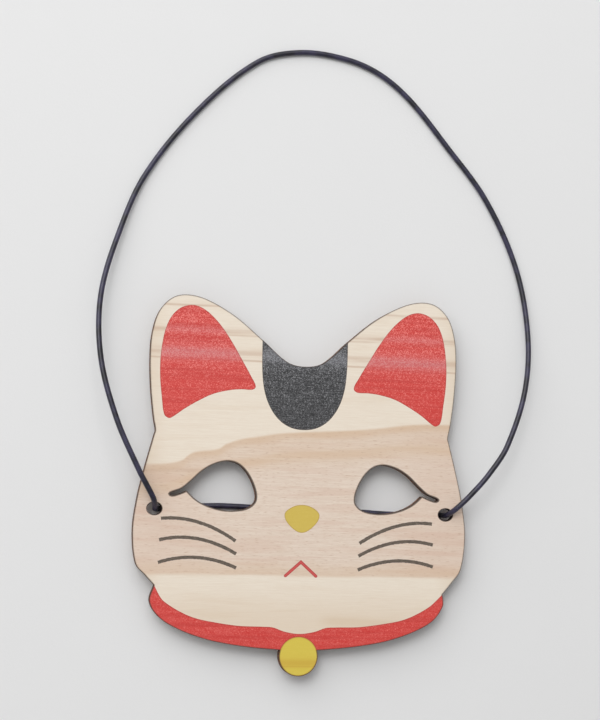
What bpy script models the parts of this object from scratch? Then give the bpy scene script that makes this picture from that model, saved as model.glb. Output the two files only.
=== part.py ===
"""A flat cat mask cut from plywood, lying face up, with the elastic cord that holds it on a head.

The printed face looks up (+Z) and the ears point to +Y. The origin is on the surface that the
mask lies on, under the middle of the board.
"""

import math

import bmesh
import bpy
from mathutils import Matrix, Vector

# Board
BOARD_WIDTH = 0.1618        # across the cheeks
BOARD_HEIGHT = 0.1814       # from the higher ear's tip to the bottom of the bell
BOARD_THICKNESS = 0.005
BELL_RADIUS = 0.0094
BELL_OFFSET_X = -0.0002     # the bell hangs a little to one side
BELL_RISE = 0.0029          # from the bell's centre up to the collar's lower edge
COLLAR_OFFSET_X = -0.0007   # the collar sits to that side too

# Eye openings
EYE_LENGTH = 0.0422         # from the inner corner to the end of the lash
EYE_HEIGHT = 0.0241
EYE_INNER_X = 0.0238        # from the eyes' own middle line to the inner corner
EYE_BASE_Y = -0.0133        # the lowest point of the lower lid
EYE_OFFSET_X = 0.0016       # from the board's middle line to the eyes'

# Cord holes, which are a little wider than tall
HOLE_WIDTH = 0.0072
HOLE_HEIGHT = 0.006
HOLE_INSET = 0.0091         # from the cheek's edge to the hole's centre
HOLE_Y = -0.0127

# Elastic cord and its knot
CORD_DIAMETER = 0.0027
KNOT_WIDTH = 0.0075
KNOT_HEIGHT = 0.0045
TAIL_LENGTH = 0.0105        # each cut end, from the knot's middle
TAIL_ANGLES = (62.0, -118.0)

# Distances that the model keeps
CLEARANCE = 0.0003          # between pieces that touch
OUTLINE_STEP = 0.0021       # between points along the board's edge
EYE_STEP = 0.0011
HOLE_SIDES = 24
BELL_SIDES = 24             # along the bell's free arc
KNOT_SIDES = 12
TAIL_SIDES = 8
CORD_STEP_FREE = 0.013      # between points where the cord runs free
CORD_STEP_BENT = 0.0024     # and where it bends through a hole
BENT_CHORD = 0.0045         # the route's own points lie closer than this at a bend

# What follows from the sizes above
CORD_RADIUS = CORD_DIAMETER / 2
BOARD_BOTTOM = KNOT_HEIGHT + CLEARANCE
BELL_Y = -BOARD_HEIGHT / 2 + BELL_RADIUS

# One side of the board's edge in millimetres at its drawn size, from beside the notch to the
# cheek's lower corner. The artwork was drawn by hand: the third number is how much higher a
# point lies on the +X side, and lower on the -X side.
DRAWN_WIDTH = 161.8
DRAWN_HEIGHT = 181.4
NOTCH_POINT = (0.0, 57.0, 0.0)
EAR_POINTS = [
    (8.8, 59.0, 0.1), (20.8, 69.3, 0.5), (34.5, 80.5, 0.6), (48.0, 87.9, 0.6),
    (57.5, 90.1, 0.6), (65.0, 88.5, 0.6), (71.2, 82.0, 0.6), (74.4, 71.5, 0.5),
    (75.1, 60.0, 0.4), (74.4, 45.0, 0.0), (72.8, 31.5, 0.0), (71.5, 24.3, 0.0),
]
CHEEK_POINTS = [
    (76.6, 4.4, 0.0), (79.4, -9.0, 0.0), (80.9, -23.5, 0.0), (78.9, -39.0, -0.2),
    (74.5, -44.7, -0.9), (69.9, -49.9, -1.3),
]
# The collar's lower edge on the same side, down to where it nears the bell
COLLAR_POINTS = [
    (71.2, -56.2, 0.0), (66.6, -63.5, 0.0), (57.5, -69.0, 0.0), (44.8, -73.5, 0.0),
    (33.2, -75.9, 0.0), (21.6, -77.4, 0.0),
]

# An eye opening in millimetres at its drawn size, from its inner corner and its lowest point.
# The first point is the corner under the lash.
EYE_DRAWN_LENGTH = 42.2
EYE_DRAWN_HEIGHT = 24.1
EYE_POINTS = [
    (33.7, 8.8), (29.2, 4.8), (23.7, 2.0), (17.2, 0.3), (10.7, 0.0), (4.2, 1.3), (0.6, 4.3),
    (0.0, 8.1), (1.8, 13.9), (5.2, 19.5), (9.5, 23.1), (14.7, 24.1), (21.2, 22.4),
    (26.9, 18.9), (32.0, 14.1), (36.4, 10.5), (40.6, 8.9), (42.2, 7.7), (40.8, 6.5),
    (37.2, 7.3),
]

# The cord's centre line in metres: from the knot's -X end under the board, up through the -X hole,
# round the free loop, down through the +X hole and back to the knot. The loop lies on the surface,
# and its springy ends arch over the board's edge. The route was drawn for holes at this distance
# from the middle line, and follows them in X.
ROUTE_HOLE_X = 0.0708
ROUTE = [
    (-0.0033, -0.0122, 0.00135), (-0.0365, -0.0108, 0.00135), (-0.0520, -0.0114, 0.00135),
    (-0.0636, -0.0124, 0.0014), (-0.0668, -0.0128, 0.0019), (-0.0693, -0.0129, 0.0037),
    (-0.0701, -0.0129, 0.0063), (-0.0705, -0.0125, 0.0090), (-0.0709, -0.0106, 0.0120),
    (-0.0722, -0.0073, 0.0148), (-0.0794, 0.0054, 0.0166), (-0.0907, 0.0297, 0.0158),
    (-0.0987, 0.0585, 0.0132), (-0.0993, 0.0878, 0.0093), (-0.0916, 0.1182, 0.0046),
    (-0.0795, 0.1480, 0.0019), (-0.0547, 0.1815, 0.00135), (-0.0256, 0.2076, 0.00135),
    (-0.0044, 0.2137, 0.00135), (0.0183, 0.2119, 0.00135), (0.0356, 0.2055, 0.00135),
    (0.0514, 0.1933, 0.00135), (0.0710, 0.1707, 0.00135), (0.0914, 0.1449, 0.00135),
    (0.1073, 0.1117, 0.0016), (0.1131, 0.0785, 0.0046), (0.1099, 0.0495, 0.0116),
    (0.0999, 0.0215, 0.0158), (0.0904, 0.0072, 0.0166), (0.0814, -0.0032, 0.0159),
    (0.0753, -0.0094, 0.0142), (0.0733, -0.0114, 0.0119), (0.0719, -0.0127, 0.0092),
    (0.0713, -0.0130, 0.0065), (0.0703, -0.0130, 0.0038), (0.0676, -0.0129, 0.0020),
    (0.0642, -0.0128, 0.0014), (0.0460, -0.01305, 0.00135), (0.0280, -0.0123, 0.00135),
    (0.0063, -0.0119, 0.00135),
]
HOLE_POINT = 6              # the point inside a hole, counted from either end of the route

WOOD = (0.83, 0.74, 0.62, 1.0)
NAVY = (0.035, 0.032, 0.06, 1.0)


def clear_scene():
    """Remove whatever objects the file holds."""
    for item in list(bpy.data.objects):
        bpy.data.objects.remove(item, do_unlink=True)


def material(name, colour, roughness):
    """A plain Principled material."""
    result = bpy.data.materials.new(name)
    result.use_nodes = True
    shader = result.node_tree.nodes["Principled BSDF"]
    shader.inputs["Base Color"].default_value = colour
    shader.inputs["Roughness"].default_value = roughness
    shader.inputs["Metallic"].default_value = 0.0
    result.diffuse_color = colour
    return result


def smooth(points, steps, closed=False, corners=()):
    """Points along a smooth curve through the given ones, which turns sharply only at corners.

    steps is the distance between the new points, or a function that gives it for each stretch.
    """
    points = [Vector(point) for point in points]
    count = len(points)

    def heading(index, chord):
        if index in corners or (not closed and index in (0, count - 1)):
            return chord
        before = points[(index - 1) % count]
        after = points[(index + 1) % count]
        return (after - before).normalized() * chord.length

    result = []
    for index in range(count if closed else count - 1):
        following = (index + 1) % count
        start, end = points[index], points[following]
        chord = end - start
        leave = heading(index, chord)
        arrive = heading(following, chord)
        step = steps(start, end) if callable(steps) else steps
        pieces = max(1, round(chord.length / step))
        for piece in range(pieces):
            t = piece / pieces
            result.append(
                start * (2 * t**3 - 3 * t**2 + 1)
                + leave * (t**3 - 2 * t**2 + t)
                + end * (3 * t**2 - 2 * t**3)
                + arrive * (t**3 - t**2)
            )
    if not closed:
        result.append(points[-1])
    return result


def oval(centre, width, height, sides, start=0.0, turn=math.tau):
    """Points around an oval's arc, anticlockwise, without its last one."""
    angles = [start + turn * index / sides for index in range(sides)]
    half = (width / 2, height / 2)
    return [centre + Vector((half[0] * math.cos(a), half[1] * math.sin(a))) for a in angles]


def side_points(side):
    """The points of the board's edge on one side (1 is +X, -1 is -X), from notch to collar."""
    stretch_x = BOARD_WIDTH / DRAWN_WIDTH
    stretch_y = BOARD_HEIGHT / DRAWN_HEIGHT
    result = []
    for x, y, rise in EAR_POINTS + CHEEK_POINTS:
        result.append(Vector((side * x * stretch_x, (y + side * rise) * stretch_y)))
    for x, y, rise in COLLAR_POINTS:
        result.append(Vector((side * x * stretch_x + COLLAR_OFFSET_X, y * stretch_y)))
    return result


def board_outline():
    """The board's edge as one closed ring, clockwise from the bell's -X side."""
    reach = math.sqrt(BELL_RADIUS**2 - BELL_RISE**2)
    joint_y = BELL_Y + BELL_RISE
    left_joint = Vector((BELL_OFFSET_X - reach, joint_y))
    right_joint = Vector((BELL_OFFSET_X + reach, joint_y))
    left = side_points(-1)
    right = side_points(1)
    notch = Vector(NOTCH_POINT[:2]) * (BOARD_HEIGHT / DRAWN_HEIGHT)
    edge = [left_joint] + left[::-1] + [notch] + right + [right_joint]
    middle = len(left) + 1
    ear_end = len(EAR_POINTS)
    cheek_end = ear_end + len(CHEEK_POINTS)
    corners = [middle - cheek_end, middle - ear_end, middle + ear_end, middle + cheek_end]
    ring = smooth(edge, OUTLINE_STEP, corners=corners)
    start = math.asin(BELL_RISE / BELL_RADIUS)
    centre = Vector((BELL_OFFSET_X, BELL_Y))
    across = 2 * BELL_RADIUS
    arc = oval(centre, across, across, BELL_SIDES, start, -math.pi - 2 * start)
    return ring[:-1] + arc


def eye_outline(side):
    """The ring of one eye opening with its lash."""
    stretch_x = EYE_LENGTH / EYE_DRAWN_LENGTH
    stretch_y = EYE_HEIGHT / EYE_DRAWN_HEIGHT
    points = []
    for x, y in EYE_POINTS:
        across = EYE_INNER_X + x * stretch_x
        points.append(Vector((EYE_OFFSET_X + side * across, EYE_BASE_Y + y * stretch_y)))
    return smooth(points, EYE_STEP, closed=True, corners=(0,))


def cheek_x(outline, height):
    """How far the board reaches towards +X at a height on the cheek."""
    found = []
    for here, there in zip(outline, outline[1:] + outline[:1]):
        if (here.y - height) * (there.y - height) <= 0 and here.y != there.y:
            share = (height - here.y) / (there.y - here.y)
            found.append(here.x + share * (there.x - here.x))
    return max(found)


def add_ring(shape, points):
    """Add a closed ring of edges through the points and return its edges."""
    verts = [shape.verts.new((point.x, point.y, 0.0)) for point in points]
    return [shape.edges.new(pair) for pair in zip(verts, verts[1:] + verts[:1])]


def add_object(name, data, place, paint):
    """Link a mesh or curve to the scene as one named object."""
    data.materials.append(paint)
    item = bpy.data.objects.new(name, data)
    item.location = place
    bpy.context.scene.collection.objects.link(item)
    return item


def mesh_object(name, shape, place, paint):
    """Turn a bmesh into an object with its faces pointing out."""
    bmesh.ops.recalc_face_normals(shape, faces=shape.faces)
    mesh = bpy.data.meshes.new(name)
    shape.to_mesh(mesh)
    shape.free()
    return add_object(name, mesh, place, paint)


def make_board(outline, hole_x, paint):
    """The plywood board with its eye openings and cord holes."""
    shape = bmesh.new()
    edges = add_ring(shape, outline)
    for side in (-1, 1):
        edges += add_ring(shape, eye_outline(side))
        hole = oval(Vector((side * hole_x, HOLE_Y)), HOLE_WIDTH, HOLE_HEIGHT, HOLE_SIDES)
        edges += add_ring(shape, hole)
    bmesh.ops.triangle_fill(shape, use_beauty=True, use_dissolve=False, edges=edges)
    lower = list(shape.faces)
    grown = bmesh.ops.extrude_face_region(shape, geom=lower)["geom"]
    raised = [item for item in grown if isinstance(item, bmesh.types.BMVert)]
    bmesh.ops.translate(shape, verts=raised, vec=(0.0, 0.0, BOARD_THICKNESS))
    mesh_object("mask_board", shape, (0.0, 0.0, BOARD_BOTTOM), paint)


def make_tail(knot, angle, paint):
    """Join one cut end of the cord to the knot; it lies on the surface below the board."""
    start = CORD_DIAMETER
    shape = bmesh.new()
    bmesh.ops.create_cone(
        shape,
        cap_ends=True,
        segments=TAIL_SIDES,
        radius1=CORD_RADIUS,
        radius2=CORD_RADIUS,
        depth=TAIL_LENGTH - start,
        matrix=Matrix.Translation(((start + TAIL_LENGTH) / 2, 0.0, 0.0))
        @ Matrix.Rotation(math.pi / 2, 4, "Y"),
    )
    place = (knot.location.x, knot.location.y, CORD_RADIUS)
    tail = mesh_object("tail_guide", shape, place, paint)
    tail.rotation_euler.z = angle
    tail.hide_render = True
    tail.display_type = "WIRE"
    union = knot.modifiers.new("tail", "BOOLEAN")
    union.operation = "UNION"
    union.solver = "EXACT"
    union.object = tail


def make_knot(start, end, paint):
    """The knot that closes the cord between its route's two ends, with the cut ends."""
    length = (end - start).length - 2 * CLEARANCE
    shape = bmesh.new()
    size = Matrix.Diagonal((length / 2, KNOT_WIDTH / 2, KNOT_HEIGHT / 2, 1.0))
    bmesh.ops.create_uvsphere(
        shape, u_segments=KNOT_SIDES, v_segments=KNOT_SIDES // 2, radius=1.0, matrix=size
    )
    middle = (start + end) / 2
    knot = mesh_object("cord_knot", shape, (middle.x, middle.y, KNOT_HEIGHT / 2), paint)
    for angle in TAIL_ANGLES:
        make_tail(knot, math.radians(angle), paint)


def cord_step(start, end):
    """Shorter steps where the route's own points lie close together, at its bends."""
    return CORD_STEP_BENT if (end - start).length < BENT_CHORD else CORD_STEP_FREE


def make_cord(name, points, paint):
    """One stretch of the cord: a round tube with closed ends."""
    curve = bpy.data.curves.new(name, "CURVE")
    curve.dimensions = "3D"
    curve.bevel_depth = CORD_RADIUS
    curve.bevel_resolution = 2
    curve.use_fill_caps = True
    curve.render_resolution_u = 0
    spline = curve.splines.new("POLY")
    spline.points.add(len(points) - 1)
    for target, point in zip(spline.points, points):
        target.co = (point.x, point.y, point.z, 1.0)
    add_object(name, curve, (0.0, 0.0, 0.0), paint)


def shortened(points):
    """The same points with the last one moved back by the clearance."""
    back = (points[-2] - points[-1]).normalized() * CLEARANCE
    return points[:-1] + [points[-1] + back]


def make_cords(route, paint):
    """The two stretches behind the board and the free loop, which meet inside the holes."""
    path = smooth(route, cord_step)
    for point in path:
        point.z = max(point.z, CORD_RADIUS)
    first = path.index(route[HOLE_POINT])
    last = path.index(route[-1 - HOLE_POINT])
    make_cord("cord_behind_left", shortened(path[: first + 1]), paint)
    make_cord("cord_loop", path[first : last + 1], paint)
    make_cord("cord_behind_right", shortened(path[last:][::-1]), paint)


def main():
    clear_scene()
    wood = material("pale plywood", WOOD, 0.55)
    elastic = material("navy elastic cord", NAVY, 0.6)
    outline = board_outline()
    hole_x = cheek_x(outline, HOLE_Y) - HOLE_INSET
    route = [Vector((x * hole_x / ROUTE_HOLE_X, y, z)) for x, y, z in ROUTE]
    make_board(outline, hole_x, wood)
    make_knot(route[0], route[-1], elastic)
    make_cords(route, elastic)


main()
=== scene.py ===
"""The looks of the cat mask: its printed, laser-cut board, the elastic cord and the cord's knot."""

import math

import bmesh
import bpy
import numpy as np
from mathutils import Matrix, Vector
from mathutils.geometry import delaunay_2d_cdt


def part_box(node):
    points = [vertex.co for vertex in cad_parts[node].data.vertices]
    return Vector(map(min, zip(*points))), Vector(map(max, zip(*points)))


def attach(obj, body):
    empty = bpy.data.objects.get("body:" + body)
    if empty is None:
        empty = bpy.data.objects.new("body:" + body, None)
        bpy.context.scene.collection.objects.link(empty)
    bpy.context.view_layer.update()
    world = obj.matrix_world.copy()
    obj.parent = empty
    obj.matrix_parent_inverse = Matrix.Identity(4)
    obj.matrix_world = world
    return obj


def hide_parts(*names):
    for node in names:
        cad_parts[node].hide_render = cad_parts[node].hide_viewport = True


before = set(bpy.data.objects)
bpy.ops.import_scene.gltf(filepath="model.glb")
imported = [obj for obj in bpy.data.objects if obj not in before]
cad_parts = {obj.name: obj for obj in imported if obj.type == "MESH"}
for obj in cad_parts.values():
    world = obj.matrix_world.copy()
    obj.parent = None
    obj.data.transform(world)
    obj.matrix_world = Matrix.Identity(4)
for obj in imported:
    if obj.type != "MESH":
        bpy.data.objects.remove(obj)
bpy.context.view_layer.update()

MM = 0.001
POINTS_AT_ONCE = 2000       # when many distances are worked out
BOARD_LOW, BOARD_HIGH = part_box("mask_board")
TOP = BOARD_HIGH.z
BOTTOM = BOARD_LOW.z

# Camera: almost straight above, a little from the left and from below
CAMERA_FROM_FACE = Vector((-0.1411, -0.0082, 0.7814))
CAMERA_TILT = (5.0, -10.0, 2.23)
CAMERA_LENS = 82.5
CAMERA_NEAREST = 0.01

# Lights by name: azimuth and elevation in degrees, distance, width and height in metres, and
# power. A broad and a smaller key from the upper left, and a weak light close above the loop.
LIGHTS = {
    "broad key": (125.0, 45.0, 2.5, 3.0, 3.0, 45.0),
    "small key": (125.0, 60.0, 4.0, 1.4, 1.4, 29.0),
    "top light": (90.0, 45.0, 1.0, 1.5, 1.5, 1.6),
}
FILL_STRENGTH = 0.37
FLOOR_SIZE = 6.0

# The cord's centre line in metres, as in the CAD model
CORD_DIAMETER = 0.0027
ROUTE = [
    (-0.0033, -0.0122, 0.00135), (-0.0365, -0.0108, 0.00135), (-0.0520, -0.0114, 0.00135),
    (-0.0636, -0.0124, 0.0014), (-0.0668, -0.0128, 0.0019), (-0.0693, -0.0129, 0.0037),
    (-0.0701, -0.0129, 0.0063), (-0.0705, -0.0125, 0.0090), (-0.0709, -0.0106, 0.0120),
    (-0.0722, -0.0073, 0.0148), (-0.0794, 0.0054, 0.0166), (-0.0907, 0.0297, 0.0158),
    (-0.0987, 0.0585, 0.0132), (-0.0993, 0.0878, 0.0093), (-0.0916, 0.1182, 0.0046),
    (-0.0795, 0.1480, 0.0019), (-0.0547, 0.1815, 0.00135), (-0.0256, 0.2076, 0.00135),
    (-0.0044, 0.2137, 0.00135), (0.0183, 0.2119, 0.00135), (0.0356, 0.2055, 0.00135),
    (0.0514, 0.1933, 0.00135), (0.0710, 0.1707, 0.00135), (0.0914, 0.1449, 0.00135),
    (0.1073, 0.1117, 0.0016), (0.1131, 0.0785, 0.0046), (0.1099, 0.0495, 0.0116),
    (0.0999, 0.0215, 0.0158), (0.0904, 0.0072, 0.0166), (0.0814, -0.0032, 0.0159),
    (0.0753, -0.0094, 0.0142), (0.0733, -0.0114, 0.0119), (0.0719, -0.0127, 0.0092),
    (0.0713, -0.0130, 0.0065), (0.0703, -0.0130, 0.0038), (0.0676, -0.0129, 0.0020),
    (0.0642, -0.0128, 0.0014), (0.0460, -0.01305, 0.00135), (0.0280, -0.0123, 0.00135),
    (0.0063, -0.0119, 0.00135),
]
CORD_CURVE_STEP = 0.0006    # between the points of the curve through the route
CORD_RING_STEP = 0.0003     # between the tube's rings along that curve
CORD_SIDES = 24
BRAID_STRANDS = 8           # that run each way round the cord
BRAID_PITCH = 0.0094        # along the cord for one turn of a strand
BRAID_RELIEF = 0.00005

# One strand's way through the knot in millimetres, from the knot's middle. The other strand takes
# the same way turned half round. The fourth number is the strand's radius.
KNOT_STRAND = [
    (-6.2, 0.0, 1.35, 1.2), (-5.2, 0.0, 1.35, 1.36), (-4.6, 0.05, 1.35, 1.38),
    (-4.0, 0.45, 1.3, 1.27), (-3.1, 1.15, 1.2, 1.15), (-1.5, 1.2, 2.2, 1.1), (0.0, 2.0, 3.3, 1.1),
    (1.5, 2.9, 2.3, 1.1), (2.8, 2.2, 1.3, 1.1), (3.3, 1.1, 1.15, 1.1), (3.5, 0.0, 2.2, 1.1),
    (3.3, -1.15, 3.3, 1.1), (2.6, -2.3, 2.7, 1.1), (1.5, -2.9, 1.8, 1.1), (0.0, -2.1, 1.15, 1.1),
    (-1.5, -1.2, 2.2, 1.1), (-3.0, -1.2, 3.3, 1.1), (-3.9, -2.6, 2.9, 1.15),
    (-4.0, -4.4, 1.95, 1.25), (-4.3, -6.5, 1.4, 1.35), (-4.93, -9.27, 1.35, 1.35),
]
KNOT_STEP = 0.25

# Artwork in millimetres, drawn for the +X side and mirrored. A third number, of the ears' points
# and of the collar's start, lifts a point on the +X side and lowers it on the other.
EAR_PRINT = [
    (24.0, 46.9, 0.4), (26.2, 51.5, 0.4), (31.0, 59.7, 0.4), (36.0, 68.0, 0.4), (41.2, 75.3, 0.4),
    (46.9, 81.2, 0.4), (51.7, 84.2, 0.4), (56.2, 85.0, 0.4), (61.2, 83.4, 0.4), (65.3, 79.4, 0.4),
    (68.0, 73.4, 0.4), (69.5, 66.0, 0.3), (70.2, 58.0, 0.3), (70.0, 49.0, 0.2), (69.0, 40.5, 0.2),
    (67.6, 31.9, 0.0), (65.3, 30.1, 0.0), (63.2, 31.0, 0.0), (58.0, 34.9, 0.1), (51.5, 38.9, 0.1),
    (44.5, 42.4, 0.1), (37.0, 44.4, 0.1), (31.0, 45.1, 0.1), (25.6, 45.2, 0.2),
]
PATCH_AXIS_X = -0.3
PATCH_PRINT = [
    (21.0, 76.0), (21.0, 69.8), (20.8, 55.5), (19.7, 45.8), (17.0, 37.8), (12.4, 31.3), (6.6, 27.5),
    (0.0, 26.4),
]
COLLAR_EDGE = [
    (66.5, -54.6), (63.4, -57.3), (57.0, -61.0), (50.0, -63.8), (40.5, -65.7), (29.0, -67.2),
    (17.3, -67.5), (12.7, -67.8), (7.9, -69.5), (3.0, -70.5), (0.0, -70.7),
]
COLLAR_START = (69.9, -49.9, -1.3)
COLLAR_REACH = (90.0, -96.0)
BELL_CENTRE = (-0.2, -81.3)
BELL_PRINT_RADIUS = 9.15
NOSE_PRINT = [(0.0, -9.5), (5.2, -10.8), (8.5, -14.3), (5.8, -19.6), (0.0, -22.8)]
MOUTH_LINE = [(7.4, -43.3), (0.0, -36.7)]
MOUTH_WIDTH = 1.5
WHISKER_AXIS_X = -1.7
WHISKER_WIDTH = 1.6
WHISKER_ROUGHNESS = 0.05    # by how much the width varies on each side
WHISKER_POINTS = 72         # along each line
WHISKER_DEPTH = 0.25
WHISKER_WALL = 0.18         # across the groove's sloping wall
WHISKERS = [
    [(65.9, -17.3), (48.0, -18.8), (30.1, -27.3)],
    [(66.5, -27.4), (50.0, -26.3), (29.7, -33.4)],
    [(66.7, -38.0), (48.0, -35.4), (29.5, -40.0)],
]
PRINT_STEP = 0.7            # between points along the edge of a print
NOSE_STEP = 0.5
BELL_POINTS = 90

# How the board's edges are finished, in millimetres
EDGE_STEP = 0.8             # between points along the edge
EDGE_DROP = 0.12            # the rounding at the printed face's edge
BURN_WIDTH = 0.7            # how far the scorching reaches onto the printed face
OPENING_BURN_WIDTH = 0.44   # and the same round the openings
OPENING_BURN = 1.9          # how many times as strong the scorching is there
OPENING_LIP = 0.38          # how far the charred edge stands into the eye openings
HAZE_AND_SHADE_WIDTH = 6.0            # how far the smoke stain reaches on the back, wide and dark partly as painted shade under the board
HAZE_BANDS = (0.15, 0.45)   # shares of that width where its mesh follows the edge
BACK_STEP = 2.0             # between the points that carry the smoke across the back
RIM_WIDTH = 0.55            # the darker line along a print's edge
PLY_DEPTHS = (1.6, 3.4)     # the glue lines, from the printed face
GLUE_RECESS = 0.05
GLUE_REACH = 0.12           # from a glue line's middle to where its recess ends
CORD_HOLE_LIMIT = 10.0      # openings narrower than this are cord holes, black all through: charred, and darkened further as painted shade for the dark hole
SHARP_TURN = 30.0           # degrees, from where a corner stays sharp
WELD_DISTANCE = 2e-6        # in metres

# The darker heartwood's upper edge, as shares of its span across and of its rise above its base,
# and how orange the wood is below that edge, as shares of its depth. Lengths in millimetres.
HEARTWOOD_SPAN = 160.0
HEARTWOOD_BASE = 5.0
HEARTWOOD_RISE = 30.0
HEARTWOOD_DEPTH = 24.0
HEARTWOOD_LOWER = -43.8
HEARTWOOD_UPPER = [
    (0.0, 0.113), (0.04, 0.123), (0.099, 0.147), (0.1375, 0.21), (0.149, 0.267), (0.178, 0.343),
    (0.238, 0.383), (0.2675, 0.47), (0.3275, 0.567), (0.366, 0.597), (0.427, 0.653),
    (0.4875, 0.687), (0.61, 0.733), (0.7025, 0.78), (0.852, 0.86), (0.946, 0.87), (1.0, 0.87),
]
HEARTWOOD_LAYERS = [
    (0.0, 0.7), (0.08, 0.8), (0.17, 0.45), (0.27, 0.3), (0.38, 0.42), (0.48, 0.75), (0.58, 0.5),
    (0.7, 0.15), (0.85, 0.0), (1.0, 0.0),
]

# Bands along the grain in millimetres: height at the left and at the right end of the span, half
# width, strength, and from where to where they run before they fade
BAND_SPAN = 140.0
BAND_FADE = 12.0
GRAIN_LINES = [
    (84.6, 83.4, 0.5, 0.5, -80, 80), (72.9, 71.6, 1.0, 0.5, -80, 80),
    (71.0, 70.2, 0.35, 0.5, -60, 30), (62.8, 60.8, 1.5, 0.42, -80, 80),
    (59.4, 56.9, 0.4, 0.55, -80, 80), (5.6, 8.0, 0.7, 0.3, -90, -55),
]
# the glossy bands where the ink turns paler: partly the band's own tone, partly painted highlight
VEILS = [(72.9, 71.6, 1.5, 0.5, -90, 90), (62.2, 60.2, 2.9, 0.95, -90, 90)]
OCHRE_BAND = [(-84.4, -84.4, 1.7, 0.8, -20, 20), (-86.1, -86.1, 0.35, 0.9, -20, 20)]
CHIN_BAND = [(-62.0, -66.5, 2.0, 0.5, 18, 45)]


def srgb(red, green, blue):
    """A colour as a picture shows it, 0 to 255, in the linear numbers that shaders use."""
    result = []
    for value in (red, green, blue):
        share = value / 255
        result.append(share / 12.92 if share <= 0.04045 else ((share + 0.055) / 1.055) ** 2.4)
    return (*result, 1.0)


def smooth(points, step, closed=False, corners=()):
    """Points along a smooth curve through the given ones, which turns sharply only at corners."""
    points = [np.array(point, float) for point in points]
    count = len(points)

    def heading(index, chord):
        if index in corners or (not closed and index in (0, count - 1)):
            return chord
        along = points[(index + 1) % count] - points[(index - 1) % count]
        return along / np.linalg.norm(along) * np.linalg.norm(chord)

    result = []
    for index in range(count if closed else count - 1):
        following = (index + 1) % count
        start, end = points[index], points[following]
        chord = end - start
        leave = heading(index, chord)
        arrive = heading(following, chord)
        pieces = max(1, round(float(np.linalg.norm(chord)) / step))
        for piece in range(pieces):
            t = piece / pieces
            result.append(
                start * (2 * t**3 - 3 * t**2 + 1)
                + leave * (t**3 - 2 * t**2 + t)
                + end * (3 * t**2 - 2 * t**3)
                + arrive * (t**3 - t**2)
            )
    if not closed:
        result.append(points[-1])
    return np.array(result)


CREAM_LIGHT = srgb(240, 229, 213)
CREAM_DARK = srgb(232, 218, 200)
CREAM_STRAW = srgb(222, 202, 178)
TAN_LIGHT = srgb(234, 218, 203)
TAN_DARK = srgb(219, 198, 179)
TAN_PINK = srgb(218, 190, 171)
TAN_ORANGE = srgb(217, 189, 161)
LINE_BROWN = srgb(188, 150, 121)
CHAR = srgb(58, 43, 34)
# laser smoke on the back, darkened further as painted shade for the gap under the board
SMOKE_AND_SHADE = srgb(112, 70, 44)
CUT_DARK = srgb(58, 36, 22)
CUT_LIGHT = srgb(144, 92, 54)
SCORCH_DARK = srgb(84, 74, 66)
SCORCH_LIGHT = srgb(116, 104, 92)
# each ink runs from LOW to HIGH; the pale HIGH specks are partly the print's stipple, partly
# painted glints
RED_LOW = srgb(208, 50, 43)
RED_HIGH = srgb(240, 132, 124)
# red ink on the glossy bands, paler partly as painted highlight
RED_VEIL_HIGHLIGHT = srgb(213, 140, 141)
DARK_LOW = srgb(28, 28, 30)
DARK_HIGH = srgb(140, 140, 143)
# dark ink on the glossy bands, paler partly as painted highlight
DARK_VEIL_HIGHLIGHT = srgb(140, 140, 145)
BELL_LOW = srgb(217, 194, 74)
BELL_HIGH = srgb(229, 209, 96)
NOSE_LOW = srgb(209, 182, 80)
NOSE_HIGH = srgb(222, 199, 105)
BELL_OCHRE = srgb(207, 171, 62)
RED_STREAK = srgb(196, 50, 45)
RED_RIM = srgb(150, 50, 42)
DARK_RIM = srgb(92, 78, 66)
YELLOW_RIM = srgb(150, 104, 44)
MOUTH_LOW = srgb(204, 78, 76)
MOUTH_HIGH = srgb(218, 98, 96)
# the braid's colour where it lies deep, darkened by painted shade, and on its lit raised crests
BRAID_DEEP_SHADED = srgb(9, 8, 22)
BRAID_RAISED_LIT = srgb(64, 59, 94)
CORE_DARK = srgb(38, 36, 48)
CORE_LIGHT = srgb(120, 116, 118)
FLOOR_DARK = (0.78, 0.78, 0.78, 1.0)
FLOOR_LIGHT = (0.82, 0.82, 0.82, 1.0)


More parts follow.
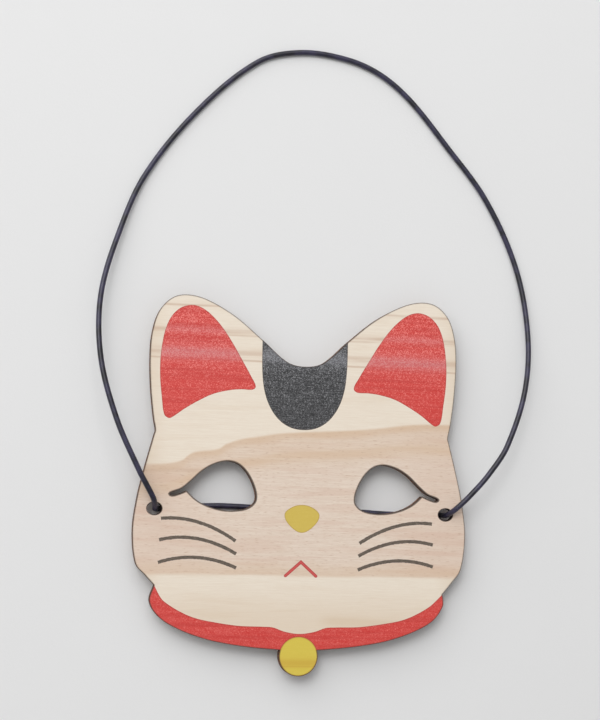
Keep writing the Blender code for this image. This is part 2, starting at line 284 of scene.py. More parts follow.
class Shading:
    """A material and short ways to add nodes to it."""

    def __init__(self, name):
        self.material = bpy.data.materials.new(name)
        self.material.use_nodes = True
        self.tree = self.material.node_tree
        self.shader = self.tree.nodes["Principled BSDF"]
        self.place = self.add("ShaderNodeTexCoord").outputs["Object"]

    def add(self, kind, **settings):
        node = self.tree.nodes.new(kind)
        for name, value in settings.items():
            setattr(node, name, value)
        return node

    def feed(self, socket, value):
        """Link an output to an input, or set the input to a plain value."""
        if isinstance(value, bpy.types.NodeSocket):
            self.tree.links.new(value, socket)
        else:
            socket.default_value = value

    def set(self, name, value):
        self.feed(self.shader.inputs[name], value)

    def math(self, operation, first, second=0.0, third=0.0, clamp=False):
        node = self.add("ShaderNodeMath", operation=operation, use_clamp=clamp)
        for socket, value in zip(node.inputs, (first, second, third)):
            self.feed(socket, value)
        return node.outputs[0]

    def stretched(self, scale, vector=None):
        """The coordinates times one number for each axis."""
        node = self.add("ShaderNodeMapping")
        self.feed(node.inputs["Vector"], vector or self.place)
        node.inputs["Scale"].default_value = scale
        return node.outputs[0]

    def noise(self, scale, detail=2.0, roughness=0.5, distortion=0.0, vector=None):
        """Noise with a spacing of one over each axis's scale."""
        node = self.add("ShaderNodeTexNoise")
        self.feed(node.inputs["Vector"], self.stretched(scale, vector))
        node.inputs["Scale"].default_value = 1.0
        node.inputs["Detail"].default_value = detail
        node.inputs["Roughness"].default_value = roughness
        node.inputs["Distortion"].default_value = distortion
        return node.outputs["Fac"]

    def between(self, value, low, high):
        """0 up to low and 1 from high on, with a soft step between them."""
        node = self.add("ShaderNodeMapRange", clamp=True, interpolation_type="SMOOTHSTEP")
        self.feed(node.inputs["Value"], value)
        self.feed(node.inputs["From Min"], low)
        self.feed(node.inputs["From Max"], high)
        return node.outputs["Result"]

    def mix(self, share, first, second):
        node = self.add("ShaderNodeMix", data_type="RGBA")
        self.feed(node.inputs["Factor"], share)
        self.feed(node.inputs[6], first)
        self.feed(node.inputs[7], second)
        return node.outputs[2]

    def curve(self, value, points):
        """A smooth curve through points (input, output), all between 0 and 1."""
        node = self.add("ShaderNodeFloatCurve")
        self.feed(node.inputs["Value"], value)
        line = node.mapping.curves[0]
        for target, point in zip(line.points, (points[0], points[-1])):
            target.location = point
        for point in points[1:-1]:
            line.points.new(*point)
        node.mapping.update()
        return node.outputs[0]

    def attribute(self, name):
        return self.add("ShaderNodeAttribute", attribute_name=name).outputs["Fac"]

    def axes(self, vector=None):
        node = self.add("ShaderNodeSeparateXYZ")
        self.feed(node.inputs[0], vector or self.place)
        return node.outputs

    def bump(self, height, distance, strength):
        node = self.add("ShaderNodeBump")
        self.feed(node.inputs["Height"], height)
        node.inputs["Distance"].default_value = distance
        node.inputs["Strength"].default_value = strength
        return node.outputs[0]


def make_camera():
    data = bpy.data.cameras.new("camera")
    data.lens = CAMERA_LENS
    data.clip_start = CAMERA_NEAREST
    camera = bpy.data.objects.new("camera", data)
    camera.location = CAMERA_FROM_FACE + Vector((0.0, 0.0, TOP))
    tilt_x, tilt_y, tilt_z = (math.radians(angle) for angle in CAMERA_TILT)
    turn = Matrix.Rotation(tilt_x, 3, "X") @ Matrix.Rotation(tilt_y, 3, "Y")
    camera.rotation_euler = (turn @ Matrix.Rotation(tilt_z, 3, "Z")).to_euler()
    bpy.context.scene.collection.objects.link(camera)
    bpy.context.scene.camera = camera


def make_lights():
    for name, (azimuth, elevation, distance, width, height, power) in LIGHTS.items():
        azimuth, elevation = math.radians(azimuth), math.radians(elevation)
        towards = Vector((
            math.cos(azimuth) * math.cos(elevation),
            math.sin(azimuth) * math.cos(elevation),
            math.sin(elevation),
        ))
        data = bpy.data.lights.new(name, "AREA")
        data.shape = "RECTANGLE"
        data.size = width
        data.size_y = height
        data.energy = power
        light = bpy.data.objects.new(name, data)
        light.location = towards * distance
        light.rotation_euler = towards.to_track_quat("Z", "Y").to_euler()
        bpy.context.scene.collection.objects.link(light)
    world = bpy.data.worlds.new("soft fill")
    world.use_nodes = True
    background = world.node_tree.nodes["Background"]
    background.inputs["Color"].default_value = (1.0, 1.0, 1.0, 1.0)
    background.inputs["Strength"].default_value = FILL_STRENGTH
    bpy.context.scene.world = world
    bpy.context.scene.view_settings.view_transform = "Standard"


def make_floor():
    """The pale surface that the mask lies on."""
    shape = bmesh.new()
    bmesh.ops.create_grid(shape, x_segments=1, y_segments=1, size=FLOOR_SIZE / 2)
    mesh = bpy.data.meshes.new("floor")
    shape.to_mesh(mesh)
    shape.free()
    paper = Shading("pale paper")
    fibres = paper.noise((900.0, 900.0, 900.0), detail=4.0, roughness=0.7)
    clouds = paper.noise((25.0, 25.0, 25.0), detail=3.0)
    clouds = paper.math("MULTIPLY", clouds, 0.3)
    tone = paper.math("ADD", paper.math("MULTIPLY", fibres, 0.35), clouds)
    paper.set("Base Color", paper.mix(tone, FLOOR_DARK, FLOOR_LIGHT))
    paper.set("Roughness", 0.9)
    paper.set("Normal", paper.bump(fibres, 0.0002, 0.25))
    mesh.materials.append(paper.material)
    floor = bpy.data.objects.new("floor", mesh)
    bpy.context.scene.collection.objects.link(floor)


def link_mesh(name, mesh):
    """Show a mesh as a piece that rides on the CAD body."""
    piece = bpy.data.objects.new(name, mesh)
    bpy.context.scene.collection.objects.link(piece)
    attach(piece, "root")
    return piece


def frames_along(path):
    """For each point of a path, two directions across it that don't twist along the way."""
    tangents = np.gradient(path, axis=0)
    tangents /= np.linalg.norm(tangents, axis=1)[:, None]
    across = np.cross(tangents[0], (0.0, 0.0, 1.0))
    sideways = []
    for tangent in tangents:
        across = across - tangent * across.dot(tangent)
        across = across / np.linalg.norm(across)
        sideways.append(across)
    sideways = np.array(sideways)
    return sideways, np.cross(tangents, sideways)


def add_tube(shape, path, radii):
    """Add a braided tube to a bmesh, with its ends closed and a uv map of length and turn."""
    sideways, upright = frames_along(path)
    angles = np.arange(CORD_SIDES) * math.tau / CORD_SIDES
    steps = np.linalg.norm(np.diff(path, axis=0), axis=1)
    along = np.concatenate([[0.0], np.cumsum(steps)])
    radius = radii[:, None] + braid_relief(along[:, None], angles[None, :])
    offsets = (
        sideways[:, None, :] * np.cos(angles)[None, :, None]
        + upright[:, None, :] * np.sin(angles)[None, :, None]
    )
    places = path[:, None, :] + offsets * radius[:, :, None]
    rings = [[shape.verts.new(place) for place in ring] for ring in places]
    layer = shape.loops.layers.uv.verify()
    for index, (ring, following) in enumerate(zip(rings, rings[1:])):
        for side in range(CORD_SIDES):
            after = (side + 1) % CORD_SIDES
            face = shape.faces.new((ring[side], ring[after], following[after], following[side]))
            face.smooth = True
            spots = ((side, index), (side + 1, index), (side + 1, index + 1), (side, index + 1))
            for loop, (turn, row) in zip(face.loops, spots):
                loop[layer].uv = (along[row], turn / CORD_SIDES)
    for end in (rings[0][::-1], rings[-1]):
        shape.faces.new(end).material_index = 1
    return along[-1]


def braid_relief(along, angle):
    """How far the braided cover stands out: strands cross over and under each other."""
    around = angle * BRAID_STRANDS / math.tau
    travel = along * BRAID_STRANDS / BRAID_PITCH
    first = around + travel
    second = around - travel
    over = (np.floor(first) + np.floor(second)) % 2
    crest_first = np.sin(math.pi * (first % 1.0))
    crest_second = np.sin(math.pi * (second % 1.0))
    height = np.where(over > 0.5, crest_first, crest_second)
    return BRAID_RELIEF * (height - 1.0)


def cord_path():
    """The cord's centre line, evenly spaced and never lower than the surface allows."""
    path = smooth(ROUTE, CORD_CURVE_STEP)
    path[:, 2] = np.maximum(path[:, 2], CORD_DIAMETER / 2)
    steps = np.linalg.norm(np.diff(path, axis=0), axis=1)
    along = np.concatenate([[0.0], np.cumsum(steps)])
    count = round(along[-1] / CORD_RING_STEP)
    even = np.linspace(0.0, along[-1], count + 1)
    return np.array([np.interp(even, along, path[:, axis]) for axis in range(3)]).T


def cord_material():
    """A dark navy braided cover: two families of fibres that cross, with a soft sheen, and painted
    shade in the braid's hollows.
    """
    cover = Shading("navy braid")
    uv = cover.add("ShaderNodeUVMap").outputs[0]
    spot = cover.axes(uv)
    around = cover.math("MULTIPLY", spot[1], float(BRAID_STRANDS))
    travel = cover.math("MULTIPLY", spot[0], BRAID_STRANDS / BRAID_PITCH)
    first = cover.math("ADD", around, travel)
    second = cover.math("SUBTRACT", around, travel)
    parity = cover.math(
        "MODULO", cover.math("ADD", cover.math("FLOOR", first), cover.math("FLOOR", second)), 2.0
    )
    over = cover.math("ABSOLUTE", parity)

    def crest(turns):
        share = cover.math("FRACT", turns)
        return cover.math("SINE", cover.math("MULTIPLY", share, math.pi))

    crest_first = crest(first)
    crest_second = crest(second)
    difference = cover.math("SUBTRACT", crest_first, crest_second)
    height = cover.math("MULTIPLY_ADD", difference, over, crest_second)
    fibres = cover.noise((2600.0, 70.0, 1.0), detail=3.0, vector=uv)
    patches = cover.noise((180.0, 180.0, 180.0), detail=3.0)
    relief = cover.math("MULTIPLY_ADD", fibres, 0.35, height)
    # painted shade: the colour goes darker where the braid's relief lies deep
    tone = cover.math("MULTIPLY", cover.between(relief, 0.2, 1.3), cover.between(patches, 0.3, 0.7))
    cover.set("Base Color", cover.mix(tone, BRAID_DEEP_SHADED, BRAID_RAISED_LIT))
    cover.set("Roughness", 0.36)
    cover.set("Specular IOR Level", 0.6)
    cover.set("Sheen Weight", 0.1)
    cover.set("Sheen Roughness", 0.4)
    cover.set("Normal", cover.bump(relief, 0.00004, 0.6))
    return cover.material


def core_material():
    """The rubber threads and fibres of a cut end."""
    core = Shading("cut elastic core")
    threads = core.noise((3500.0, 3500.0, 3500.0), detail=2.0)
    core.set("Base Color", core.mix(core.between(threads, 0.4, 0.6), CORE_DARK, CORE_LIGHT))
    core.set("Roughness", 0.8)
    core.set("Normal", core.bump(threads, 0.0001, 0.6))
    return core.material


def make_knot(cover, core):
    """Two strands that hook into each other, with their cut ends splayed."""
    start, end = Vector(ROUTE[0]), Vector(ROUTE[-1])
    middle = (start + end) / 2
    turn = math.atan2(end.y - start.y, end.x - start.x)
    strand = smooth(KNOT_STRAND, KNOT_STEP)
    shape = bmesh.new()
    for half in (0.0, math.pi):
        spin = np.array(Matrix.Rotation(turn + half, 3, "Z"))
        path = (strand[:, :3] * MM) @ spin.T
        path[:, 2] = np.maximum(path[:, 2], strand[:, 3] * MM)
        path += np.array((middle.x, middle.y, 0.0))
        add_tube(shape, path, strand[:, 3] * MM)
    mesh = bpy.data.meshes.new("knot")
    shape.to_mesh(mesh)
    shape.free()
    mesh.materials.append(cover)
    mesh.materials.append(core)
    knot = link_mesh("knot", mesh)
    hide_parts("cord_knot")
    return knot


def make_cord():
    """The whole elastic cord as one braided tube, and its knot."""
    path = cord_path()
    radii = np.full(len(path), CORD_DIAMETER / 2)
    shape = bmesh.new()
    length = add_tube(shape, path, radii)
    mesh = bpy.data.meshes.new("elastic_cord")
    shape.to_mesh(mesh)
    shape.free()
    cover = cord_material()
    core = core_material()
    mesh.materials.append(cover)
    mesh.materials.append(core)
    cord = link_mesh("elastic_cord", mesh)
    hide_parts("cord_loop", "cord_behind_left", "cord_behind_right")
    knot = make_knot(cover, core)


def cad_loops():
    """The board's edge and its openings as rings of points in millimetres, the edge first."""
    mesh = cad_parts["mask_board"].data
    count = {}
    for face in mesh.polygons:
        spots = [mesh.vertices[index].co for index in face.vertices]
        if face.normal.z < 0.9 or min(spot.z for spot in spots) < TOP - 0.0005:
            continue
        keys = [(round(spot.x / MM, 3), round(spot.y / MM, 3)) for spot in spots]
        for pair in zip(keys, keys[1:] + keys[:1]):
            count[pair] = count.get(pair, 0) + 1
    following = {a: b for a, b in count if (b, a) not in count}
    loops = []
    while following:
        start, after = next(iter(following.items()))
        ring = [start]
        while after != start:
            ring.append(after)
            after = following.pop(after)
        following.pop(start)
        loops.append(np.array(ring))
    loops.sort(key=lambda ring: -np.ptp(ring[:, 0]))
    return loops


def rounded(ring):
    """The ring again with more points on a smooth curve, which keeps its sharp corners."""
    before = ring - np.roll(ring, 1, axis=0)
    after = np.roll(ring, -1, axis=0) - ring
    turn = np.arctan2(
        before[:, 0] * after[:, 1] - before[:, 1] * after[:, 0], (before * after).sum(axis=1)
    )
    corners = set(np.nonzero(np.abs(turn) > math.radians(SHARP_TURN))[0].tolist())
    return smooth(ring, EDGE_STEP, closed=True, corners=corners)


def inset(ring, distance):
    """The ring moved into the material, which lies on its left as it runs."""
    before = ring - np.roll(ring, 1, axis=0)
    after = np.roll(ring, -1, axis=0) - ring
    before = before / np.linalg.norm(before, axis=1)[:, None]
    after = after / np.linalg.norm(after, axis=1)[:, None]
    normal = np.stack([-(before + after)[:, 1], (before + after)[:, 0]], axis=1)
    length = np.linalg.norm(normal, axis=1)
    normal = normal / length[:, None]
    stretch = np.minimum(2 / length, 2.0)
    return ring + normal * (distance * stretch)[:, None]


def distance_to(points, rings):
    """How far each point is from the nearest of the rings."""
    best = np.full(len(points), np.inf)
    for ring in rings:
        run = np.roll(ring, -1, axis=0) - ring
        size = (run**2).sum(axis=1)
        for low in range(0, len(points), POINTS_AT_ONCE):
            part = slice(low, low + POINTS_AT_ONCE)
            gap = points[part][:, None, :] - ring[None, :, :]
            share = np.clip((gap * run[None]).sum(axis=2) / size[None], 0.0, 1.0)
            off = gap - run[None] * share[:, :, None]
            best[part] = np.minimum(best[part], np.sqrt((off**2).sum(axis=2)).min(axis=1))
    return best


def inside(points, ring):
    """Which of the points lie inside the ring."""
    x, y = points.T[:, :, None]
    x0, y0 = ring.T
    x1, y1 = np.roll(ring, -1, axis=0).T
    level = y1 - y0
    crossing = x0 + (y - y0) * (x1 - x0) / np.where(level == 0, 1e-12, level)
    crosses = ((y0 > y) != (y1 > y)) & (x < crossing)
    return crosses.sum(axis=1) % 2 == 1


def within(ring, distance):
    """The ring moved inwards, whichever way round it runs."""
    after = np.roll(ring, -1, axis=0)
    area = (ring[:, 0] * after[:, 1] - after[:, 0] * ring[:, 1]).sum()
    return inset(ring if area > 0 else ring[::-1], distance)


def mirrored(points, axis_x=0.0):
    """The same points on the other side of a line, in the opposite order."""
    return [(2 * axis_x - point[0], *point[1:]) for point in points][::-1]


def ear_ring(side):
    points = [(side * x, y + side * rise) for x, y, rise in EAR_PRINT]
    return smooth(points if side > 0 else points[::-1], PRINT_STEP, closed=True)


def patch_ring():
    right = [(PATCH_AXIS_X + x, y) for x, y in PATCH_PRINT]
    left = mirrored(right, PATCH_AXIS_X)[1:]
    return smooth(right + left, PRINT_STEP)


def collar_ring():
    """The collar's upper edge, closed round the outside of the board."""
    x, y, rise = COLLAR_START
    right = [(x, y + rise)] + COLLAR_EDGE
    left = mirrored(COLLAR_EDGE)[1:] + [(-x, y - rise)]
    reach_x, reach_y = COLLAR_REACH
    edge = smooth(right + left, PRINT_STEP)
    outside = [(-reach_x, y - rise), (-reach_x, reach_y), (reach_x, reach_y), (reach_x, y + rise)]
    return np.concatenate([edge, np.array(outside)])


def bell_ring():
    angles = np.arange(BELL_POINTS) * math.tau / BELL_POINTS
    circle = np.stack([np.cos(angles), np.sin(angles)], axis=1)
    return np.array(BELL_CENTRE) + BELL_PRINT_RADIUS * circle


def nose_ring():
    points = NOSE_PRINT + mirrored(NOSE_PRINT[1:-1])
    return smooth(points, NOSE_STEP, closed=True)


def whisker_lines():
    """The middle lines of the burned whiskers, each on a parabola through its three points."""
    lines = []
    for side in (1, -1):
        for points in WHISKERS:
            (x0, y0), (x1, y1), (x2, y2) = points
            curve = np.polyfit([x0, x1, x2], [y0, y1, y2], 2)
            x = np.linspace(x0, x2, WHISKER_POINTS)
            lines.append(np.stack([WHISKER_AXIS_X + side * x, np.polyval(curve, x)], axis=1))
    return lines


def whisker_ring(line, seed):
    """The outline of a burned whisker, a little rough along its sides."""
    run = np.gradient(line, axis=0)
    run /= np.linalg.norm(run, axis=1)[:, None]
    normal = np.stack([-run[:, 1], run[:, 0]], axis=1)
    chance = np.random.default_rng(seed)
    half = WHISKER_WIDTH / 2 + chance.normal(0.0, 1.0, (2, len(line))) * WHISKER_ROUGHNESS
    left = line + normal * half[0][:, None]
    right = line - normal * half[1][:, None]
    return np.concatenate([left, right[::-1]])


def mouth_ring():
    """The outline of the mouth: two strokes that meet in a peak, with round ends."""
    end, peak = np.array(MOUTH_LINE)
    half = MOUTH_WIDTH / 2
    down = (end - peak) / np.linalg.norm(end - peak)
    normal = np.array([-down[1], down[0]])
    angles = np.linspace(-math.pi / 2, math.pi / 2, 9)
    right = [end + down * math.cos(a) * half + normal * math.sin(a) * half for a in angles]
    rise = np.array([0.0, half / down[0]])
    return np.array([peak - rise, *right, peak + rise, *mirrored(right)])


def triangulated(rings, spots=()):
    """Triangles between the rings' points and any single spots, with the rings' own edges kept."""
    points, edges = [], []
    for ring in rings:
        first = len(points)
        count = len(ring)
        points += [Vector(point) for point in ring.tolist()]
        edges += [(first + index, first + (index + 1) % count) for index in range(count)]
    points += [Vector(spot) for spot in spots]
    verts, _, faces, _, _, _ = delaunay_2d_cdt(points, edges, [], 0, 1e-5, False)
    return np.array([tuple(vert) for vert in verts]), np.array(faces)


def on_material(points, triangles, loops):
    """The triangles that lie on the board and not over an opening."""
    middles = points[triangles].mean(axis=1)
    keep = inside(middles, loops[0])
    for opening in loops[1:]:
        keep &= ~inside(middles, opening)
    return triangles[keep]


def border(triangles):
    """The triangles' outer edges as rings of point numbers."""
    pairs = {(int(a), int(b)) for face in triangles for a, b in zip(face, np.roll(face, -1))}
    following = {a: b for a, b in pairs if (b, a) not in pairs}
    rings = []
    while following:
        start, after = following.popitem()
        ring = [start]
        while after != start:
            ring.append(after)
            after = following.pop(after)
        rings.append(ring)
    return rings


def add_faces(shape, points, heights, triangles, materials, marks, flip=False):
    """Add flat triangles to a bmesh, with the named marks on their points."""
    layers = {name: shape.verts.layers.float[name] for name in marks}
    verts = []
    for index, (point, height) in enumerate(zip(points, heights)):
        vert = shape.verts.new((point[0] * MM, point[1] * MM, height))
        for name, values in marks.items():
            vert[layers[name]] = float(values[index])
        verts.append(vert)
    for face, material in zip(triangles, materials):
        corners = [verts[index] for index in (face[::-1] if flip else face)]
        shape.faces.new(corners).material_index = int(material)
    return verts


def prints():
    """The printed shapes in the order they lie on each other, with the slots of their inks."""
    shapes = [(collar_ring(), "red"), (patch_ring(), "dark"), (bell_ring(), "bell")]
    shapes += [(ear_ring(side), "red") for side in (1, -1)]
    shapes += [(nose_ring(), "nose"), (mouth_ring(), "mouth")]
    return shapes


def make_board():
    """The whole board as one mesh: the printed face, the cut edges and the plain back."""
    slots = ["wood", "red", "dark", "bell", "nose", "mouth", "scorch", "cut", "back"]
    loops = [rounded(loop) for loop in cad_loops()]
    reaches = [BURN_WIDTH]
    for index, loop in enumerate(loops[1:], 1):
        lip = OPENING_LIP if np.ptp(loop[:, 0]) > CORD_HOLE_LIMIT else 0.0
        loops[index] = inset(loop, -lip)
        reaches.append(OPENING_BURN_WIDTH + lip)
    artwork = prints()
    whiskers = [whisker_ring(line, seed) for seed, line in enumerate(whisker_lines())]
    rings = loops + [inset(loop, EDGE_DROP) for loop in loops]
    rings += [inset(loop, reach) for loop, reach in zip(loops, reaches)]
    rings += [within(ring, shift) for ring, _ in artwork for shift in (RIM_WIDTH, 0.0, -RIM_WIDTH)]
    rings += whiskers + [inset(ring[::-1], -WHISKER_WALL) for ring in whiskers]
    points, triangles = triangulated(rings)
    triangles = on_material(points, triangles, loops)
    middles = points[triangles].mean(axis=1)
    materials = np.zeros(len(triangles), int)
    for ring, ink in artwork:
        materials[inside(middles, ring)] = slots.index(ink)
    for ring in whiskers:
        materials[inside(middles, ring)] = slots.index("scorch")
    materials[distance_to(middles, loops) < EDGE_DROP * 0.9] = slots.index("cut")
    to_edge = distance_to(points, loops)
    heights = TOP - MM * EDGE_DROP * np.clip(1 - to_edge / EDGE_DROP, 0.0, 1.0)
    in_groove = np.zeros(len(points), bool)
    for ring in whiskers:
        in_groove |= inside(points, ring)
    to_groove = np.where(in_groove, distance_to(points, whiskers), 0.0)
    heights = heights - MM * WHISKER_DEPTH * np.clip(to_groove / WHISKER_WALL, 0.0, 1.0)
    burn = np.zeros(len(points))
    for index, (loop, reach) in enumerate(zip(loops, reaches)):
        strength = OPENING_BURN if index else 1.0
        burn += strength * np.clip(1 - distance_to(points, [loop]) / reach, 0.0, 1.0)
    to_print = distance_to(points, [ring for ring, _ in artwork])
    rim = np.clip(1 - to_print / RIM_WIDTH, 0.0, 1.0)

    shape = bmesh.new()
    for name in ("burn", "haze", "rim"):
        shape.verts.layers.float.new(name)
    marks = {"burn": burn, "haze": np.zeros(len(points)), "rim": rim}
    face_verts = add_faces(shape, points, heights, triangles, materials, marks)
    lowest = add_walls(shape, points, face_verts, border(triangles), slots.index("cut"))
    add_back(shape, lowest, slots.index("back"))
    bmesh.ops.remove_doubles(shape, verts=shape.verts, dist=WELD_DISTANCE)
    loose = [vert for vert in shape.verts if not vert.link_faces]
    bmesh.ops.delete(shape, geom=loose, context="VERTS")
    mesh = bpy.data.meshes.new("printed_board")
    shape.to_mesh(mesh)
    shape.free()
    mesh.shade_smooth()
    mesh.set_sharp_from_angle(angle=math.radians(SHARP_TURN))
    for slot in slots:
        mesh.materials.append(INKS[slot]())
    board = link_mesh("printed_board", mesh)
    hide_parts("mask_board")


def add_walls(shape, points, face_verts, rings, material):
    """Add the cut edges below the printed face. Returns the lowest row of each, in millimetres."""
    thickness = (TOP - BOTTOM) / MM
    rows = []
    for depth in PLY_DEPTHS:
        rows += [(depth - GLUE_REACH, 0.0), (depth, GLUE_RECESS), (depth + GLUE_REACH, 0.0)]
    rows += [(thickness - EDGE_DROP, 0.0), (thickness, EDGE_DROP)]
    burn = shape.verts.layers.float["burn"]
    haze = shape.verts.layers.float["haze"]
    lowest = []
    for ring in rings:
        edge = points[ring]
        # cord holes' walls go char black all through: laser char, and painted shade that makes the
        # hole read dark
        char_and_shade = 1.0 if np.ptp(edge[:, 0]) < CORD_HOLE_LIMIT else 0.0
        upper = [face_verts[index] for index in ring]
        for depth, recess in rows:
            places = inset(edge, recess) if recess else edge
            lower = [shape.verts.new((x * MM, y * MM, TOP - depth * MM)) for x, y in places]
            for vert in lower:
                vert[burn] = char_and_shade
                vert[haze] = 1.0
            for index in range(len(ring)):
                after = (index + 1) % len(ring)
                corners = (upper[index], lower[index], lower[after], upper[after])
                shape.faces.new(corners).material_index = material
            upper = lower
        lowest.append(places)
    return lowest


def add_back(shape, rings, material):
    """Close the board with its plain back, stained dark beside each cut by smoke and by painted
    shade that darkens the gap beneath.
    """
    rings = sorted(rings, key=lambda ring: -np.ptp(ring[:, 0]))
    thinned = [ring[::2] for ring in rings]
    bands = [inset(ring, HAZE_AND_SHADE_WIDTH * share) for ring in thinned for share in HAZE_BANDS]
    low, high = rings[0].min(axis=0), rings[0].max(axis=0)
    x, y = np.meshgrid(*(np.arange(low[axis], high[axis], BACK_STEP) for axis in range(2)))
    spots = np.stack([x.ravel(), y.ravel()], axis=1)
    spots = spots[distance_to(spots, rings + bands) > BACK_STEP / 3]
    points, triangles = triangulated(rings + bands, spots.tolist())
    triangles = on_material(points, triangles, rings)
    haze = np.clip(1 - distance_to(points, rings) / HAZE_AND_SHADE_WIDTH, 0.0, 1.0)
    marks = {"burn": np.zeros(len(points)), "haze": haze}
    heights = np.full(len(points), BOTTOM)
    add_faces(shape, points, heights, triangles, [material] * len(triangles), marks, flip=True)


def ramp_of_bands(s, level, x, bands):
    """How strongly a place lies on one of the lengthwise bands, 0 to 1."""
    total = None
    for left, right, half_width, strength, from_x, to_x in bands:
        centre = s.math("MULTIPLY_ADD", x, (right - left) / BAND_SPAN, (left + right) / 2 * MM)
        off = s.math("ABSOLUTE", s.math("SUBTRACT", level, centre))
        reach = s.math("POWER", s.math("DIVIDE", off, half_width * MM), 3.0)
        peak = s.math("DIVIDE", strength, s.math("ADD", reach, 1.0))
        begin = s.between(x, (from_x - BAND_FADE) * MM, from_x * MM)
        end = s.between(x, (to_x + BAND_FADE) * MM, to_x * MM)
        share = s.math("MULTIPLY", peak, s.math("MULTIPLY", begin, end))
        total = share if total is None else s.math("MAXIMUM", total, share)
    return total


def heartwood(s, x, level):
    """Where the darker heartwood is, how orange it is there, and how far down from its edge."""
    across = s.math("MULTIPLY_ADD", x, 1 / (HEARTWOOD_SPAN * MM), 0.5)
    upper = s.curve(across, HEARTWOOD_UPPER)
    upper = s.math("MULTIPLY_ADD", upper, HEARTWOOD_RISE * MM, HEARTWOOD_BASE * MM)
    below = s.math("SUBTRACT", upper, level)
    above = s.math("SUBTRACT", level, HEARTWOOD_LOWER * MM)
    heart = s.math("MULTIPLY", s.between(below, -0.0004, 0.0012), s.between(above, -0.0006, 0.0014))
    depth = s.math("DIVIDE", below, HEARTWOOD_DEPTH * MM, clamp=True)
    layers = s.curve(depth, HEARTWOOD_LAYERS)
    hem = s.math("MULTIPLY", s.between(above, 0.009, 0.002), 0.55)
    return heart, s.math("MAXIMUM", layers, hem)


def grain(s):
    """The plywood's own pattern: its colour, its fine fibres and the glossy bands where the ink is
    paler, partly as painted highlight.
    """
    x, y, _ = s.axes()
    sway = s.noise((16.0, 40.0, 1.0))
    level = s.math("MULTIPLY_ADD", s.math("SUBTRACT", sway, 0.5), 0.0022, y)
    fine = s.noise((70.0, 1500.0, 1.0), detail=5.0, roughness=0.62)
    finest = s.noise((260.0, 5200.0, 1.0), detail=3.0, roughness=0.6)
    fibre = s.math("MULTIPLY_ADD", finest, 0.45, s.math("MULTIPLY", fine, 0.55))
    streaks = s.noise((13.0, 190.0, 1.0), detail=5.0, roughness=0.65, distortion=0.5)
    out = s.math("ABSOLUTE", x)

    cream = s.mix(s.between(fibre, 0.3, 0.7), CREAM_DARK, CREAM_LIGHT)
    sides = s.math("MULTIPLY", s.between(out, 0.064, 0.077), 0.5)
    chin = s.math("MULTIPLY", s.between(level, -0.044, -0.068), 0.6)
    chin = s.math("ADD", ramp_of_bands(s, level, x, CHIN_BAND), chin)
    straw = s.math("MAXIMUM", sides, chin)
    straw = s.math("MULTIPLY_ADD", s.between(streaks, 0.5, 0.72), 0.35, straw)
    cream = s.mix(straw, cream, CREAM_STRAW)

    heart, orange = heartwood(s, x, level)
    tan = s.mix(s.between(fibre, 0.32, 0.66), TAN_DARK, TAN_LIGHT)
    sides = s.math("MULTIPLY", s.between(out, 0.03, 0.072), 0.35)
    pink = s.math("MULTIPLY_ADD", s.between(streaks, 0.46, 0.62), 0.5, sides)
    tan = s.mix(pink, tan, TAN_PINK)
    uneven = s.math("MULTIPLY_ADD", s.between(streaks, 0.3, 0.6), 0.5, 0.6)
    orange = s.math("MULTIPLY", orange, uneven)
    tan = s.mix(orange, tan, TAN_ORANGE)
    pores = s.between(s.noise((300.0, 2400.0, 1.0), detail=1.5), 0.6, 0.72)
    tan = s.mix(s.math("MULTIPLY", pores, 0.5), tan, LINE_BROWN)

    broken = s.between(s.noise((30.0, 500.0, 1.0), detail=3.0), 0.3, 0.6)
    broken = s.math("MULTIPLY_ADD", broken, 0.6, 0.4)
    lines = s.math("MULTIPLY", ramp_of_bands(s, level, x, GRAIN_LINES), broken)
    wood = s.mix(lines, s.mix(heart, cream, tan), LINE_BROWN)
    # the glossy bands, where the inks turn paler partly as painted highlight
    veil = ramp_of_bands(s, level, x, VEILS)
    veil = s.math("MULTIPLY", veil, s.math("MULTIPLY_ADD", fibre, 0.9, 0.5))
    return wood, fibre, veil


def scorched(s, colour):
    """The colour again, browned towards the cut edges."""
    burn = s.attribute("burn")
    rough = s.noise((1500.0, 1500.0, 1500.0), detail=2.0)
    near = s.between(s.math("MULTIPLY_ADD", rough, 0.3, burn), 0.15, 1.1)
    return s.mix(s.math("MULTIPLY", near, 0.85), colour, CHAR)


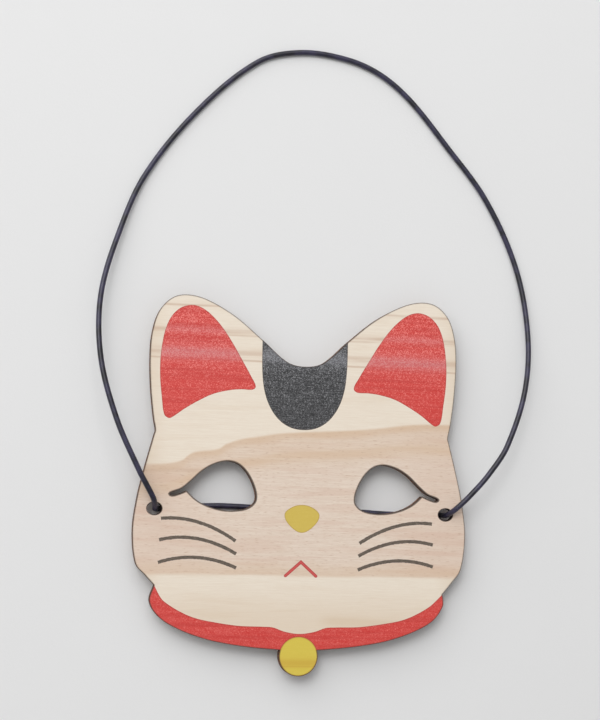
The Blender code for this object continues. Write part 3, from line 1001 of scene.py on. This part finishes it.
def face_material(name, low, high, rim, roughness, stipple_and_glint, veil_highlight=None, streak=None, band=None):
    """Ink on the wood: stippled, with pale specks that are partly painted glints, and glossier
    where a hard band of the grain veils it, where the ink is also paler, partly as painted
    highlight.
    """
    s = Shading(name)
    _, fibre, veil = grain(s)
    x, y, _ = s.axes()
    # pale specks in the ink: partly the print's stipple over the grain, partly painted glints
    specks = s.noise((2100.0, 2100.0, 2100.0), detail=1.5, roughness=0.7, distortion=0.4)
    # more pale specks towards the top of the board
    toward_top = s.math("MULTIPLY_ADD", s.between(y, 0.012, 0.085), 0.13, -0.095)
    if veil_highlight:
        toward_top = s.math("MULTIPLY_ADD", veil, 0.08, toward_top)
    light = s.math("MULTIPLY", s.between(s.math("ADD", specks, toward_top), 0.54, 0.67), stipple_and_glint)
    tone = s.math("MULTIPLY_ADD", s.between(fibre, 0.35, 0.65), 0.25, light)
    grit = s.math("SUBTRACT", specks, 0.46)
    tone = s.math("MULTIPLY_ADD", grit, 1.2 * stipple_and_glint, tone)
    ink = s.mix(tone, low, high)
    if streak:
        long_streaks = s.noise((12.0, 420.0, 1.0), detail=3.0, roughness=0.6)
        ink = s.mix(s.math("MULTIPLY", s.between(long_streaks, 0.46, 0.66), 0.5), ink, streak)
    if band:
        bands, colour = band
        ink = s.mix(ramp_of_bands(s, y, x, bands), ink, colour)
    shine = roughness
    # painted highlight, in part: on a glossy band the ink turns paler as well as glossier
    if veil_highlight:
        share = s.math("MULTIPLY", veil, s.math("MULTIPLY_ADD", light, 0.5, 0.4))
        ink = s.mix(share, ink, veil_highlight)
        shine = s.math("MULTIPLY_ADD", share, -0.15, roughness)
    ink = s.mix(s.math("MULTIPLY", s.attribute("rim"), 0.55), ink, rim)
    s.set("Base Color", scorched(s, ink))
    s.set("Roughness", shine)
    s.set("Normal", s.bump(s.math("MULTIPLY_ADD", specks, 0.6, fibre), 0.00008, 0.5))
    return s.material


def wood_material():
    s = Shading("printed face wood")
    wood, fibre, _ = grain(s)
    s.set("Base Color", scorched(s, wood))
    s.set("Roughness", 0.55)
    s.set("Normal", s.bump(fibre, 0.00008, 0.5))
    return s.material


def back_material():
    s = Shading("plain back wood")
    wood, fibre, _ = grain(s)
    cloud = s.noise((90.0, 90.0, 90.0), detail=4.0)
    # smoke beside the cuts, made darker than the stain alone as painted shade under the board
    smoke_and_shade = s.between(s.math("MULTIPLY_ADD", cloud, 0.5, s.attribute("haze")), 0.3, 1.25)
    s.set("Base Color", s.mix(smoke_and_shade, wood, SMOKE_AND_SHADE))
    s.set("Roughness", 0.62)
    s.set("Normal", s.bump(fibre, 0.0001, 0.6))
    return s.material


def scorch_material():
    s = Shading("scorched line")
    fine = s.noise((500.0, 3000.0, 1.0), detail=4.0, roughness=0.6)
    s.set("Base Color", s.mix(s.between(fine, 0.35, 0.65), SCORCH_DARK, SCORCH_LIGHT))
    s.set("Roughness", 0.75)
    s.set("Normal", s.bump(fine, 0.0002, 0.6))
    return s.material


def cut_material():
    """The laser's cut: charred plies with upright streaks, and the darker glue lines between."""
    s = Shading("charred cut edge")
    depth = s.math("SUBTRACT", TOP, s.axes()[2])
    waves = s.noise((220.0, 220.0, 60.0), detail=3.0)
    depth = s.math("MULTIPLY_ADD", s.math("SUBTRACT", waves, 0.5), 0.0004, depth)
    upright = s.noise((2600.0, 2600.0, 90.0), detail=3.0, roughness=0.6)
    layers = None
    for line in PLY_DEPTHS:
        off = s.math("ABSOLUTE", s.math("SUBTRACT", depth, line * MM))
        near = s.math("SUBTRACT", 1.0, s.between(off, 0.0001, 0.0003))
        layers = near if layers is None else s.math("MAXIMUM", layers, near)
    tone = s.mix(s.between(upright, 0.35, 0.68), CUT_DARK, CUT_LIGHT)
    tone = s.mix(s.math("MULTIPLY", layers, 0.75), tone, CHAR)
    # burn turns the cord holes' walls char black, partly as painted shade
    tone = s.mix(s.math("MULTIPLY", s.attribute("burn"), 0.85, clamp=True), tone, CHAR)
    s.set("Base Color", tone)
    s.set("Roughness", 0.7)
    s.set("Normal", s.bump(upright, 0.0002, 0.6))
    return s.material


INKS = {
    "wood": wood_material,
    "red": lambda: face_material(
        "red ink", RED_LOW, RED_HIGH, RED_RIM, 0.5, stipple_and_glint=1.0,
        veil_highlight=RED_VEIL_HIGHLIGHT, streak=RED_STREAK
    ),
    "dark": lambda: face_material(
        "dark ink", DARK_LOW, DARK_HIGH, DARK_RIM, 0.5, stipple_and_glint=1.0, veil_highlight=DARK_VEIL_HIGHLIGHT
    ),
    "bell": lambda: face_material(
        "bell yellow ink", BELL_LOW, BELL_HIGH, YELLOW_RIM, 0.45, stipple_and_glint=0.2,
        band=(OCHRE_BAND, BELL_OCHRE)
    ),
    "nose": lambda: face_material(
        "nose yellow ink", NOSE_LOW, NOSE_HIGH, YELLOW_RIM, 0.5, stipple_and_glint=0.3
    ),
    "mouth": lambda: face_material("mouth ink", MOUTH_LOW, MOUTH_HIGH, RED_RIM, 0.5, stipple_and_glint=0.3),
    "scorch": scorch_material,
    "cut": cut_material,
    "back": back_material,
}


def main():
    make_camera()
    make_lights()
    make_floor()
    make_cord()
    make_board()


main()
